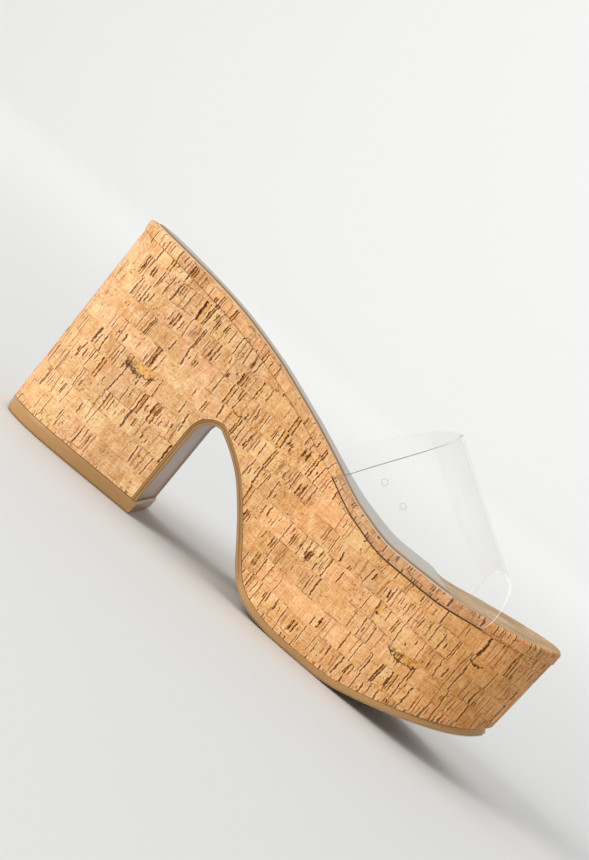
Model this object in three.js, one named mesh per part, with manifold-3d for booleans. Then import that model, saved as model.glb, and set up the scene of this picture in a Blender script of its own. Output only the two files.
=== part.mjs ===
// Platform sandal, left foot. Millimetres, +X to the toe, +Y to the outer side, +Z up.
// While it is built, x runs from the back of the heel and z from the floor; the last lines
// centre the finished sandal over its own footprint.

import * as THREE from 'three';
import { mergeVertices } from 'three/addons/utils/BufferGeometryUtils.js';
import Module from 'manifold-3d';

const wasm = await Module();
wasm.setup();

// ---------------------------------------------------------------- driving sizes

const LENGTH = 240.3;          // heel back to toe tip, along the foot
const GAP = 0.3;               // glue line between neighbouring pieces
const STATIONS = 60;           // cross-sections along the foot

const HEEL_ROUND = 34;         // length of the rounded heel end
const HEEL_SQUARE = 2.4;       // 2 is an ellipse, more is squarer
const TOE_TIP_Y = -7;          // the toe's foremost point lies towards the big toe
const WALL_DRAFT = 1.1;        // the wall leans in this much from its top to the floor
const DRAFT_HEIGHT = 60;       // height over which it does
const TOE_DRAFT = 2.8;         // the toe's wall leans in this much more
const TOE_DRAFT_X = 200;       // from here to the tip
const CUT_WIDTH = 140;         // tools that cut the pieces are this wide and run past them
const CUT_TOP = 130;
const CUT_BELOW = -2;
const CUT_PAST = 5;

const LIFT_HEIGHT = 5.7;       // rubber top piece under the heel
const LIFT_INSET = 0.3;
const LIFT_PROUD = 0.4;        // past the breast sheet
const LIFT_CHAMFER = 0.8;      // on its lower front edge
const LIFT_BLOCK = 20;         // heights of the blocks that lift and sole are cut from
const SOLE_BLOCK = 70;
const BREAST_X = 70.3;         // front face of the block heel
const BREAST_CORNER = 8;       // radius where the breast turns into the arch
const BREAST_STEPS = 7;        // cells round that corner
const BREAST_MIDDLE = 26;      // a point half-way up the breast
const SOLE_INSET = 0.4;        // the sole sheet stops this far inside the wall
const SOLE_LEVEL = 26;         // its edge is upright, in line with the wall at this height
const SOLE_STEPS = 44;         // cells from the arch to the toe

const BOARD_PROUD = 0.5;       // the wrapped board stands out from the wall
const SOCK_INSET = 3.6;        // the sock stops short of the board's edge
const SOCK_THICK = 1.0;
const SOCK_BEVEL = 0.8;
const SOCK_END = { medial: 191.5, lateral: 181 };   // x of its front edge, this far out:
const SOCK_CUT_Y = 60;

const STRAP_THICK = 1.2;
const STRAP_WIDTH = 84;        // from its back edge to its front edge, at the seam
const STRAP_STANDOFF = 0.45;   // from the board's edge to the strap
const STRAP_TUCK = 9;          // how far each end runs in under the board
const STRAP_BEND = 1.5;        // middle radius where the strap turns under
const BEND_STEPS = 4;
const STRAP_RISE = 0.8;        // it starts to arch this far under the board's top
const VENT_RADIUS = 1.1;
const VENT_DRILL = { length: 60, y: -40, sides: 16 };
const VENTS = [{ x: 142.4, z: 76.5 }, { x: 154, z: 74.0 }];

// Half-widths of the footprint, without the rounding of the two ends.
const WIDTHS = [
  { x: 0, medial: 29.5, lateral: 29.5 },
  { x: 34, medial: 29.5, lateral: 29.5 },
  { x: 60, medial: 28.5, lateral: 28.5 },
  { x: 85, medial: 28, lateral: 29 },
  { x: 110, medial: 30, lateral: 33.5 },
  { x: 135, medial: 36, lateral: 40 },
  { x: 160, medial: 40.5, lateral: 44 },
  { x: 180, medial: 41.5, lateral: 45 },
  { x: 200, medial: 41, lateral: 44.5 },
  { x: 240, medial: 40, lateral: 43.5 },
];

// The toe rounds off over a short length on the big-toe side and a long one on the other.
const TOE_ROUND = {
  medial: { length: 48, square: 2.3 },
  lateral: { length: 78, square: 2.1 },
};

// Top of the platform on the medial side, the board's thickness above it, and how much
// lower both lie on the lateral side, where the foot's arch doesn't need support.
const FOOTBED = [
  { x: 0, seam: 92.3, board: 5.2, drop: 0.8 },
  { x: 25, seam: 90.3, board: 5.6, drop: 1.9 },
  { x: 50, seam: 87.2, board: 6.0, drop: 2.8 },
  { x: 75, seam: 81.9, board: 5.7, drop: 3.4 },
  { x: 100, seam: 74.3, board: 4.8, drop: 3.4 },
  { x: 120, seam: 66.3, board: 4.8, drop: 3.3 },
  { x: 143, seam: 56.6, board: 5.0, drop: 1.8 },
  { x: 163, seam: 52.8, board: 5.0, drop: 1.5 },
  { x: 185, seam: 52.9, board: 5.3, drop: 1.4 },
  { x: 205, seam: 55.3, board: 5.4, drop: 0.4 },
  { x: 225, seam: 58.1, board: 5.6, drop: -0.8 },
  { x: 240, seam: 60.9, board: 5.9, drop: -1.2 },
];

// Ground face of the sole sheet from the arch to the toe, and the sheet's thickness.
const SOLE = [
  { x: 78.5, z: 50.2, thick: 2.1 },
  { x: 85.2, z: 46.5, thick: 2.1 },
  { x: 93.8, z: 40.3, thick: 2.1 },
  { x: 102.9, z: 30.8, thick: 2.2 },
  { x: 110.5, z: 21.4, thick: 2.3 },
  { x: 118.1, z: 11.5, thick: 2.5 },
  { x: 123.7, z: 6.0, thick: 2.8 },
  { x: 130.4, z: 2.7, thick: 3.0 },
  { x: 138.6, z: 0.8, thick: 3.0 },
  { x: 147.8, z: 0.0, thick: 3.0 },
  { x: 166.8, z: 0.0, thick: 3.0 },
  { x: 174.8, z: 0.6, thick: 3.0 },
  { x: 184.1, z: 2.5, thick: 2.9 },
  { x: 199.1, z: 6.6, thick: 2.9 },
  { x: 214.2, z: 11.5, thick: 2.9 },
  { x: 229.5, z: 17.7, thick: 2.9 },
  { x: 243.7, z: 26.7, thick: 2.9 },
];

// The strap's back and front edges: x where each leaves the seam and passes the board's
// top on either side, the crown between them, and how square the arch is.
const STRAP = {
  back: {
    medialSeam: 125.2, medialTop: 128, crownX: 153.2, crownZ: 109.6,
    lateralTop: 117, lateralSeam: 114.4, square: 2.2,
  },
  front: {
    medialSeam: 208.4, medialTop: 210, crownX: 203.5, crownZ: 76.5,
    lateralTop: 199.7, lateralSeam: 199, square: 2.9,
  },
};
const STRAP_COLUMNS = 10;      // cells from the back edge to the front edge
const ARCH_STEPS = 36;         // cells over the instep
const LEAN = { medial: 1.12, lateral: 1.25 };   // above 1 the edges start off steeper

// ---------------------------------------------------------------- reading the tables

function slopes(table, name) {
  const rises = table.slice(1).map((row, i) => (row[name] - table[i][name]) / (row.x - table[i].x));
  return table.map((_, i) => {
    const before = rises[i - 1];
    const after = rises[i];
    if (before === undefined || after === undefined) return before ?? after;
    return before * after <= 0 ? 0 : 2 * before * after / (before + after);
  });
}

// Smooth curve through one column of a table, with no overshoot between its rows.
function read(table, name, x) {
  const last = table.length - 2;
  const next = table.findIndex((row) => row.x > x);
  const i = next < 0 ? last : Math.max(0, next - 1);
  const [a, b] = [table[i], table[i + 1]];
  const span = b.x - a.x;
  const t = THREE.MathUtils.clamp((x - a.x) / span, 0, 1);
  const tangent = slopes(table, name);
  const h = 1 - t;
  return a[name] * h * h * (1 + 2 * t) + b[name] * t * t * (3 - 2 * t)
    + span * (tangent[i] * t * h * h - tangent[i + 1] * t * t * h);
}

function roundOff(along, square) {
  return Math.pow(1 - Math.pow(THREE.MathUtils.clamp(along, 0, 1), square), 1 / square);
}

// The footprint's edge at x: negative y on the medial side, positive on the lateral side.
function edgeY(x, side) {
  const sign = side === 'medial' ? -1 : 1;
  const toe = TOE_ROUND[side];
  const atHeel = roundOff((HEEL_ROUND - x) / HEEL_ROUND, HEEL_SQUARE);
  const atToe = roundOff((x - LENGTH + toe.length) / toe.length, toe.square);
  const y = sign * read(WIDTHS, side, x) * atHeel;
  return TOE_TIP_Y * (1 - atToe) + y * atToe;
}

function seamZ(x, y) {
  const across = THREE.MathUtils.clamp((y + 35) / 70, 0, 1.2);
  return read(FOOTBED, 'seam', x) - read(FOOTBED, 'drop', x) * across;
}

function boardZ(x, y) {
  return seamZ(x, y) + read(FOOTBED, 'board', x);
}

// ---------------------------------------------------------------- making solids

function stationX(i) {
  return LENGTH * (1 - Math.cos(Math.PI * i / STATIONS)) / 2;
}

// The footprint as a loop that runs out along the medial side and back along the lateral
// one, moved outwards by grow. Its first and last points meet at the heel, its two middle
// points at the toe.
function footprint(grow) {
  const loop = [];
  const add = (i, side) => loop.push(new THREE.Vector2(stationX(i), edgeY(stationX(i), side)));
  for (let i = 0; i <= STATIONS; i++) add(i, 'medial');
  for (let i = STATIONS - 1; i > 0; i--) add(i, 'lateral');
  const count = loop.length;
  const moved = loop.map((point, i) => {
    const along = loop[(i + 1) % count].clone().sub(loop[(i + count - 1) % count]).normalize();
    return new THREE.Vector2(point.x + along.y * grow, point.y - along.x * grow);
  });
  return [...moved.slice(0, STATIONS + 1), ...moved.slice(STATIONS), moved[0]];
}

// A footprint loop lifted to a surface.
function rim(grow, height) {
  return footprint(grow).map(({ x, y }) => new THREE.Vector3(x, y, height(x, y)));
}

// Skin over a row of loops, closed at both ends. Each loop goes out and comes back, so an
// end is closed by rungs from its outgoing to its returning half.
function loft(loops) {
  const count = loops[0].length;
  const at = (loop, i) => loop * count + (i % count);
  const faces = [];
  for (let loop = 0; loop < loops.length - 1; loop++) {
    for (let i = 0; i < count; i++) {
      faces.push([at(loop, i), at(loop, i + 1), at(loop + 1, i + 1)]);
      faces.push([at(loop, i), at(loop + 1, i + 1), at(loop + 1, i)]);
    }
  }
  const end = loops.length - 1;
  for (let i = 0; i < count / 2 - 1; i++) {
    const back = count - 1 - i;
    faces.push([at(0, i), at(0, back), at(0, back - 1)], [at(0, i), at(0, back - 1), at(0, i + 1)]);
    faces.push([at(end, i), at(end, i + 1), at(end, back - 1)]);
    faces.push([at(end, i), at(end, back - 1), at(end, back)]);
  }
  const geometry = new THREE.BufferGeometry().setFromPoints(loops.flat());
  geometry.setIndex(faces.flat());
  return solid(geometry);
}

// A three.js geometry as a closed solid: shared corners merged, collapsed faces left out.
function solid(geometry) {
  const bare = geometry.clone();
  bare.deleteAttribute('normal');
  bare.deleteAttribute('uv');
  const merged = mergeVertices(bare, 1e-4);
  const index = merged.index.array;
  const kept = [];
  for (let i = 0; i < index.length; i += 3) {
    const [a, b, c] = index.slice(i, i + 3);
    if (a !== b && b !== c && c !== a) kept.push(a, b, c);
  }
  const vertProperties = new Float32Array(merged.attributes.position.array);
  const triVerts = new Uint32Array(kept);
  return new wasm.Manifold(new wasm.Mesh({ numProp: 3, vertProperties, triVerts }));
}

// A side-view outline (x, z) made as wide as the sandal and more.
function acrossFoot(points) {
  const outline = new THREE.Shape(points);
  const plate = new THREE.ExtrudeGeometry(outline, { depth: CUT_WIDTH, bevelEnabled: false });
  plate.rotateX(Math.PI / 2).translate(0, CUT_WIDTH / 2, 0);
  return solid(plate);
}

// The footprint as the leaning wall has it at one level, lifted to a height.
function leaned(grow, level, height) {
  const share = 1 - level / DRAFT_HEIGHT;
  const loop = rim(grow - WALL_DRAFT * share, () => height);
  for (const point of loop) {
    const along = Math.max(0, (point.x - TOE_DRAFT_X) / (LENGTH - TOE_DRAFT_X));
    point.x -= TOE_DRAFT * share * along * along;
  }
  return loop;
}

// The space over the footprint between two heights, leaning in towards the floor.
function wallBlock(grow, low, top) {
  return loft([leaned(grow, low, low), rim(grow, top)]);
}

// ---------------------------------------------------------------- the sole's side view

// The ground line from the heel breast to the toe, with the thickness at each point.
function groundLine() {
  const line = [
    { x: BREAST_X, z: LIFT_HEIGHT + GAP },
    { x: BREAST_X, z: BREAST_MIDDLE },
  ];
  const centre = { x: BREAST_X + BREAST_CORNER, z: SOLE[0].z - BREAST_CORNER };
  for (let i = 0; i <= BREAST_STEPS; i++) {
    const angle = Math.PI - i / BREAST_STEPS * Math.PI / 2;
    line.push({
      x: centre.x + BREAST_CORNER * Math.cos(angle),
      z: centre.z + BREAST_CORNER * Math.sin(angle),
    });
  }
  const first = SOLE[0].x;
  const last = SOLE[SOLE.length - 1].x;
  for (let i = 1; i <= SOLE_STEPS; i++) {
    const x = first + (last - first) * i / SOLE_STEPS;
    line.push({ x, z: read(SOLE, 'z', x) });
  }
  return line.map((point) => ({ ...point, thick: read(SOLE, 'thick', point.x) }));
}

// The ground line moved up into the shoe by the sheet's thickness and a little more.
function raisedLine(extra) {
  const line = groundLine();
  return line.map((point, i) => {
    const before = line[Math.max(0, i - 1)];
    const after = line[Math.min(line.length - 1, i + 1)];
    const along = new THREE.Vector2(after.x - before.x, after.z - before.z).normalize();
    const depth = point.thick + extra;
    return new THREE.Vector2(point.x - along.y * depth, point.z + along.x * depth);
  });
}

// ---------------------------------------------------------------- the strap's sheet

function mix(name, v) {
  return THREE.MathUtils.lerp(STRAP.back[name], STRAP.front[name], v);
}

function signedPower(value, power) {
  return Math.sign(value) * Math.pow(Math.abs(value), power);
}

// One end of the strap's middle line: in under the board, round the bend and up its edge.
function strapEnd(side, v, tuck) {
  const sign = side === 'medial' ? -1 : 1;
  const outside = BOARD_PROUD + STRAP_STANDOFF + STRAP_THICK / 2;
  const seamX = mix(`${side}Seam`, v);
  const topX = mix(`${side}Top`, v);
  const seamY = edgeY(seamX, side) + sign * outside;
  const topY = edgeY(topX, side) + sign * outside;
  const points = [];
  const add = (inward, up) => {
    const y = seamY - sign * inward;
    points.push(new THREE.Vector3(seamX, y, seamZ(seamX, y) + GAP + STRAP_THICK / 2 + up));
  };
  add(STRAP_BEND + tuck, 0);
  add(STRAP_BEND + tuck / 2, 0);
  for (let i = 0; i <= BEND_STEPS; i++) {
    const turn = i / BEND_STEPS * Math.PI / 2;
    add(STRAP_BEND * (1 - Math.sin(turn)), STRAP_BEND * (1 - Math.cos(turn)));
  }
  points.push(new THREE.Vector3(topX, topY, boardZ(topX, topY) - STRAP_RISE));
  return points;
}

// The middle line of the sheet at v, from 0 at its back edge to 1 at its front edge.
function strapLine(v, tuck) {
  const medial = strapEnd('medial', v, tuck);
  const lateral = strapEnd('lateral', v, tuck);
  const from = medial[medial.length - 1];
  const to = lateral[lateral.length - 1];
  const middle = from.clone().add(to).multiplyScalar(0.5);
  const half = from.clone().sub(middle);
  const lean = mix('crownX', v) - middle.x;
  const rise = mix('crownZ', v) - middle.z;
  const power = 2 / mix('square', v);
  const arch = [];
  for (let i = 1; i < ARCH_STEPS; i++) {
    const angle = Math.PI * i / ARCH_STEPS;
    const out = signedPower(Math.cos(angle), power);
    const up = signedPower(Math.sin(angle), power);
    const point = middle.clone().addScaledVector(half, out);
    point.x += lean * Math.pow(up, out < 0 ? LEAN.lateral : LEAN.medial);
    point.z += rise * up;
    arch.push(point);
  }
  return [...medial, ...arch, ...lateral.reverse()];
}

// The sheet as a solid; grow makes it larger all round, to cut its own clearance.
function strapSheet(grow) {
  const reach = grow / STRAP_WIDTH;
  const lines = [];
  for (let i = 0; i <= STRAP_COLUMNS; i++) {
    const v = -reach + (1 + 2 * reach) * i / STRAP_COLUMNS;
    lines.push(strapLine(v, STRAP_TUCK + grow));
  }
  const half = STRAP_THICK / 2 + grow;
  const loops = lines[0].map((_, step) => {
    const normals = lines.map((line, i) => {
      const along = line[Math.min(step + 1, line.length - 1)].clone().sub(line[Math.max(step - 1, 0)]);
      const before = lines[Math.max(i - 1, 0)][step];
      const across = lines[Math.min(i + 1, STRAP_COLUMNS)][step].clone().sub(before);
      return along.cross(across).normalize();
    });
    const outer = lines.map((line, i) => line[step].clone().addScaledVector(normals[i], -half));
    const inner = lines.map((line, i) => line[step].clone().addScaledVector(normals[i], half));
    return [...outer, ...inner.reverse()];
  });
  return loft(loops);
}

// ---------------------------------------------------------------- the pieces

function heelLift() {
  const front = BREAST_X + LIFT_PROUD;
  const side = acrossFoot([
    new THREE.Vector2(-CUT_PAST, 0), new THREE.Vector2(front - LIFT_CHAMFER, 0),
    new THREE.Vector2(front, LIFT_CHAMFER), new THREE.Vector2(front, LIFT_HEIGHT),
    new THREE.Vector2(-CUT_PAST, LIFT_HEIGHT),
  ]);
  return wallBlock(-LIFT_INSET, 0, () => LIFT_BLOCK).intersect(side);
}

function outsole() {
  const ground = groundLine().map(({ x, z }) => new THREE.Vector2(x, z));
  const sheet = acrossFoot([...ground, ...raisedLine(0).reverse()]);
  const upright = [CUT_BELOW, SOLE_BLOCK].map((z) => leaned(-SOLE_INSET, SOLE_LEVEL, z));
  return loft(upright).intersect(sheet);
}

function platform() {
  const foot = LIFT_HEIGHT + GAP;
  const side = acrossFoot([
    new THREE.Vector2(-CUT_PAST, foot), ...raisedLine(GAP),
    new THREE.Vector2(LENGTH + CUT_PAST, CUT_TOP), new THREE.Vector2(-CUT_PAST, CUT_TOP),
  ]);
  return wallBlock(0, CUT_BELOW, seamZ).intersect(side);
}

function insoleBoard() {
  const edge = [
    { grow: -0.9, up: 0 }, { grow: 0.25, up: 0.2 }, { grow: BOARD_PROUD, up: 0.5 },
    { grow: 0.25, up: 0.8 }, { grow: -1.2, up: 1 },
  ];
  const loops = edge.map(({ grow, up }) => rim(grow, (x, y) => {
    const under = seamZ(x, y) + GAP;
    return under + (boardZ(x, y) - under) * up;
  }));
  return loft(loops).subtract(strapSheet(GAP));
}

function sock() {
  const top = (up) => (x, y) => boardZ(x, y) + GAP + SOCK_THICK * up;
  const whole = loft([
    rim(-SOCK_INSET, top(0)), rim(-SOCK_INSET, top(0.5)), rim(-SOCK_INSET - SOCK_BEVEL, top(1)),
  ]);
  const kept = new THREE.Shape([
    new THREE.Vector2(-CUT_PAST, -SOCK_CUT_Y), new THREE.Vector2(SOCK_END.medial, -SOCK_CUT_Y),
    new THREE.Vector2(SOCK_END.lateral, SOCK_CUT_Y), new THREE.Vector2(-CUT_PAST, SOCK_CUT_Y),
  ]);
  const plate = new THREE.ExtrudeGeometry(kept, { depth: CUT_TOP, bevelEnabled: false });
  return whole.intersect(solid(plate));
}

function strap() {
  return VENTS.reduce((sheet, vent) => {
    const { length, y, sides } = VENT_DRILL;
    const drill = new THREE.CylinderGeometry(VENT_RADIUS, VENT_RADIUS, length, sides);
    return sheet.subtract(solid(drill.translate(vent.x, y, vent.z)));
  }, strapSheet(0));
}

// ---------------------------------------------------------------- the sandal

function piece(name, shape, color, roughness, extra = {}) {
  const { numProp, vertProperties, triVerts } = shape.getMesh();
  const geometry = new THREE.BufferGeometry();
  geometry.setAttribute('position', new THREE.BufferAttribute(vertProperties, numProp));
  geometry.setIndex(new THREE.BufferAttribute(triVerts, 1));
  geometry.computeVertexNormals();
  const material = new THREE.MeshStandardMaterial({ color, roughness, metalness: 0, ...extra });
  const mesh = new THREE.Mesh(geometry, material);
  mesh.name = name;
  return mesh;
}

const sandal = new THREE.Group();
sandal.add(
  piece('heel_lift', heelLift(), 0xb98d5c, 0.7),
  piece('outsole', outsole(), 0xb98d5c, 0.7),
  piece('platform', platform(), 0xdcab78, 0.75),
  piece('insole_board', insoleBoard(), 0xdcab78, 0.75),
  piece('sock', sock(), 0xd9b48f, 0.45),
  piece('strap', strap(), 0xf4f6f8, 0.05, { transparent: true, opacity: 0.3 }),
);

// The origin is the middle of the footprint, on the floor.
const bounds = new THREE.Box3().setFromObject(sandal);
sandal.position.set(-(bounds.min.x + bounds.max.x) / 2, -(bounds.min.y + bounds.max.y) / 2, 0);

export default sandal;
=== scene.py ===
# Looks of the platform sandal, a left shoe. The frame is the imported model: metres, +X to the
# toe, +Y to the outer side, +Z up, floor at 0. Sizes below are in millimetres, with x counted
# from the back of the heel, as the shoe is measured; place() turns them into the frame.

import math

import bpy
import numpy as np
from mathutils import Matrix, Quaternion, Vector


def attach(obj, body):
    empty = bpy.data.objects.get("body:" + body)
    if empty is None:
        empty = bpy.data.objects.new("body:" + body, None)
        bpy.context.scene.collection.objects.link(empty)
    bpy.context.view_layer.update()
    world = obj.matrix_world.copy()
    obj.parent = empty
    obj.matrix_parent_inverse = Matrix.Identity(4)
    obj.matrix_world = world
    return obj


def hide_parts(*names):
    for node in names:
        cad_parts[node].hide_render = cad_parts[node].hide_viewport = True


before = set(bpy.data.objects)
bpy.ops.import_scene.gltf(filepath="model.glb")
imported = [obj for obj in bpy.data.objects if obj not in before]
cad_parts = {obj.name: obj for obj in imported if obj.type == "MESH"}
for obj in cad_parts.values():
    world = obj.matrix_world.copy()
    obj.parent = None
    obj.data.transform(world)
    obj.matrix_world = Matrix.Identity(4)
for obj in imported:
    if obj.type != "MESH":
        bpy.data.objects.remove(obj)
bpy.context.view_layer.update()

# ---------------------------------------------------------------- camera, floor and light
# The shoe stands on a pale floor that curves up into the backdrop far behind it. The view is
# from the inner side, a little ahead of the heel, with the camera rolled.

CAMERA_PLACE = Vector((0.04524, -0.98134, 0.12874))
CAMERA_TARGET = Vector((-0.02086, 0.0, 0.06719))
CAMERA_ROLL = math.radians(39.465)
CAMERA_LENS = 100.465


def show(name, data):
    """An object of the scene for a mesh, a lamp or a camera."""
    made = bpy.data.objects.new(name, data)
    bpy.context.scene.collection.objects.link(made)
    return made


eye = bpy.data.cameras.new("eye")
eye.lens = CAMERA_LENS
eye.sensor_width = 36
eye.clip_start, eye.clip_end = 0.05, 30
camera = show("camera", eye)
camera.location = CAMERA_PLACE
camera.rotation_mode = "QUATERNION"
level = (CAMERA_TARGET - CAMERA_PLACE).to_track_quat("-Z", "Y")
camera.rotation_quaternion = level @ Quaternion((0, 0, 1), CAMERA_ROLL)
bpy.context.scene.camera = camera


def new_object(name, points, faces):
    """A smooth-shaded object from points in metres, in the frame."""
    mesh = bpy.data.meshes.new(name)
    mesh.from_pydata([tuple(p) for p in points], [], faces)
    mesh.validate()
    mesh.polygons.foreach_set("use_smooth", [True] * len(mesh.polygons))
    return show(name, mesh)


def plain_material(name, color, roughness, **sockets):
    """A Principled material with constant values, ready for nodes: it, its shader, its tree."""
    material = bpy.data.materials.new(name)
    material.use_nodes = True
    shader = material.node_tree.nodes["Principled BSDF"]
    shader.inputs["Base Color"].default_value = (*color, 1)
    shader.inputs["Roughness"].default_value = roughness
    for socket, value in sockets.items():
        shader.inputs[socket.replace("_", " ")].default_value = value
    return material, shader, material.node_tree


FLOOR_FRONT, FLOOR_BACK = -2.0, 3.0     # the floor and its cove are in metres
FLOOR_HALF_WIDTH = 6.0
COVE_RADIUS = 2.0
COVE_STEPS = 24
BACKDROP_TOP = 6.0

cove_line = [(FLOOR_FRONT, 0.0)]
for turn in np.linspace(0, math.pi / 2, COVE_STEPS + 1):
    cove_line.append((FLOOR_BACK + COVE_RADIUS * math.sin(turn),
                      COVE_RADIUS * (1 - math.cos(turn))))
cove_line.append((FLOOR_BACK + COVE_RADIUS, BACKDROP_TOP))
cove_points = [(side * FLOOR_HALF_WIDTH, y, z) for y, z in cove_line for side in (-1, 1)]
cove_faces = [(2 * i, 2 * i + 1, 2 * i + 3, 2 * i + 2) for i in range(len(cove_line) - 1)]
floor = new_object("floor", cove_points, cove_faces)
floor.data.materials.append(plain_material("floor_white", (0.7, 0.7, 0.692), 0.75)[0])


def add_light(name, place, target, size, power):
    """A square soft light at a place, aimed at a target, in metres and watts."""
    lamp = bpy.data.lights.new(name, "AREA")
    lamp.size, lamp.energy = size, power
    holder = show(name, lamp)
    holder.location = place
    holder.rotation_mode = "QUATERNION"
    holder.rotation_quaternion = (Vector(target) - Vector(place)).to_track_quat("-Z", "Y")


add_light("key", (-1.5, -1.35, 1.0), (0, 0, 0.06), 1.2, 34)
add_light("top", (-0.5, 0.4, 2.0), (0, 0, 0.05), 1.4, 8)
add_light("backdrop", (0.0, 2.0, 3.2), (0, 5.0, 1.2), 3.0, 93)

world = bpy.data.worlds.new("studio")
world.use_nodes = True
world.node_tree.nodes["Background"].inputs["Color"].default_value = (0.99, 1, 0.992, 1)
world.node_tree.nodes["Background"].inputs["Strength"].default_value = 0.6
bpy.context.scene.world = world
bpy.context.scene.view_settings.view_transform = "Standard"

# ---------------------------------------------------------------- platform
# The block heel, the arch and the thick forefoot are one core, wrapped in a cork veneer that
# runs lengthwise in strips about 9 mm high. The wrap meets itself at the back of the heel.

MIDDLE = (120.15, 1.48)         # the footprint's middle, counted from the heel back
LENGTH = 240.3
GAP = 0.3
HEEL_ROUND = 34
HEEL_SQUARE = 2.4
TOE_TIP_Y = -7
TOE_ROUND = {"medial": (48, 2.3), "lateral": (78, 2.1)}
WALL_DRAFT = 1.1                # the wall leans in towards the floor, and at the toe more
TOE_DRAFT = 2.8
TOE_DRAFT_X = 200
DRAFT_HEIGHT = 60
LIFT_HEIGHT = 5.7
BREAST_X = 70.3
BREAST_CORNER = 8
WALL_EDGE = 0.25                # radius of the veneer's top and bottom edges
SEAM_FILL = 0.2                 # the veneer turns up into the glue line under the board
STATIONS = 231                  # cross-sections from the heel's back to the toe
WALL_ROWS = 44
HEEL_ROWS = 26
VENEER_MAP = 100.0              # millimetres in one unit of the veneer's map

WIDTHS = {
    "x": (0, 34, 60, 85, 110, 135, 160, 180, 200, 240),
    "medial": (29.5, 29.5, 28.5, 28, 30, 36, 40.5, 41.5, 41, 40),
    "lateral": (29.5, 29.5, 28.5, 29, 33.5, 40, 44, 45, 44.5, 43.5),
}
FOOTBED = {
    "x": (0, 25, 50, 75, 100, 120, 143, 163, 185, 205, 225, 240),
    "seam": (92.3, 90.3, 87.2, 81.9, 74.3, 66.3, 56.6, 52.8, 52.9, 55.3, 58.1, 60.9),
    "board": (5.2, 5.6, 6.0, 5.7, 4.8, 4.8, 5.0, 5.0, 5.3, 5.4, 5.6, 5.9),
    "drop": (0.8, 1.9, 2.8, 3.4, 3.4, 3.3, 1.8, 1.5, 1.4, 0.4, -0.8, -1.2),
}
SOLE = {
    "x": (78.5, 85.2, 93.8, 102.9, 110.5, 118.1, 123.7, 130.4, 138.6, 147.8, 166.8,
          174.8, 184.1, 199.1, 214.2, 229.5, 243.7),
    "z": (50.2, 46.5, 40.3, 30.8, 21.4, 11.5, 6.0, 2.7, 0.8, 0, 0,
          0.6, 2.5, 6.6, 11.5, 17.7, 26.7),
    "thick": (2.1, 2.1, 2.1, 2.2, 2.3, 2.5, 2.8, 3, 3, 3, 3,
              3, 2.9, 2.9, 2.9, 2.9, 2.9),
}


def place(points):
    """Millimetres from the heel back to metres in the frame."""
    moved = np.array(points, float).reshape(-1, 3)
    return (moved - (MIDDLE[0], MIDDLE[1], 0)) / 1000


def read(table, column, x):
    """Smooth curve through one column of a table, with no overshoot between its rows."""
    xs, ys = np.array(table["x"], float), np.array(table[column], float)
    rise = np.diff(ys) / np.diff(xs)
    before, after = rise[:-1], rise[1:]
    total = np.where(np.abs(before + after) < 1e-9, 1, before + after)
    inner = np.where(before * after <= 0, 0, 2 * before * after / total)
    slope = np.concatenate(([rise[0]], inner, [rise[-1]]))
    x = np.asarray(x, float)
    i = np.clip(np.searchsorted(xs, x, side="right") - 1, 0, len(xs) - 2)
    span = xs[i + 1] - xs[i]
    t = np.clip((x - xs[i]) / span, 0, 1)
    h = 1 - t
    return (ys[i] * h * h * (1 + 2 * t) + ys[i + 1] * t * t * (3 - 2 * t)
            + span * (slope[i] * t * h * h - slope[i + 1] * t * t * h))


def round_off(along, square):
    """From 1 down to 0 along a rounded end, squarer as square grows past 2."""
    return (1 - np.clip(along, 0, 1) ** square) ** (1 / square)


def edge_y(x, side):
    """The footprint's edge at x: negative on the medial side, positive on the lateral."""
    length, square = TOE_ROUND[side]
    sign = -1 if side == "medial" else 1
    at_heel = round_off((HEEL_ROUND - x) / HEEL_ROUND, HEEL_SQUARE)
    at_toe = round_off((x - LENGTH + length) / length, square)
    return TOE_TIP_Y * (1 - at_toe) + sign * read(WIDTHS, side, x) * at_heel * at_toe


def seam_z(x, y):
    """Height of the seam between the wall and the board, lower towards the outer side."""
    across = np.clip((np.asarray(y, float) + 35) / 70, 0, 1.2)
    return read(FOOTBED, "seam", x) - read(FOOTBED, "drop", x) * across


def board_z(x, y):
    return seam_z(x, y) + read(FOOTBED, "board", x)


def ground_line():
    """(x, z) of the sole's ground face from the foot of the breast to the toe."""
    up = [(BREAST_X, z) for z in np.linspace(LIFT_HEIGHT + GAP, SOLE["z"][0] - BREAST_CORNER, 26)]
    turn = np.linspace(math.pi, math.pi / 2, 16)[1:]
    corner = [(BREAST_X + BREAST_CORNER * (1 + math.cos(a)),
               SOLE["z"][0] - BREAST_CORNER * (1 - math.sin(a))) for a in turn]
    xs = np.linspace(SOLE["x"][0], LENGTH, 300)[1:]
    return np.array(up + corner + list(zip(xs, read(SOLE, "z", xs))))


def inward_of(line):
    """Unit directions from a ground line into the shoe."""
    along = np.gradient(line, axis=0)
    along /= np.linalg.norm(along, axis=1)[:, None]
    return np.stack([-along[:, 1], along[:, 0]], 1)


def raised_line(extra):
    """The ground line moved up into the shoe by the sheet's thickness and a little more."""
    line = ground_line()
    depth = read(SOLE, "thick", line[:, 0]) + extra
    return line + inward_of(line) * depth[:, None]


def toe_lean(x):
    """How much further the wall leans in as it nears the toe."""
    return TOE_DRAFT * np.clip((x - TOE_DRAFT_X) / (LENGTH - TOE_DRAFT_X), 0, None) ** 2


def outward(x, y):
    """Unit outward directions round a closed loop."""
    along = np.stack([np.roll(x, -1) - np.roll(x, 1), np.roll(y, -1) - np.roll(y, 1)], 1)
    along /= np.linalg.norm(along, axis=1)[:, None]
    return np.stack([along[:, 1], -along[:, 0]], 1)


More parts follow.
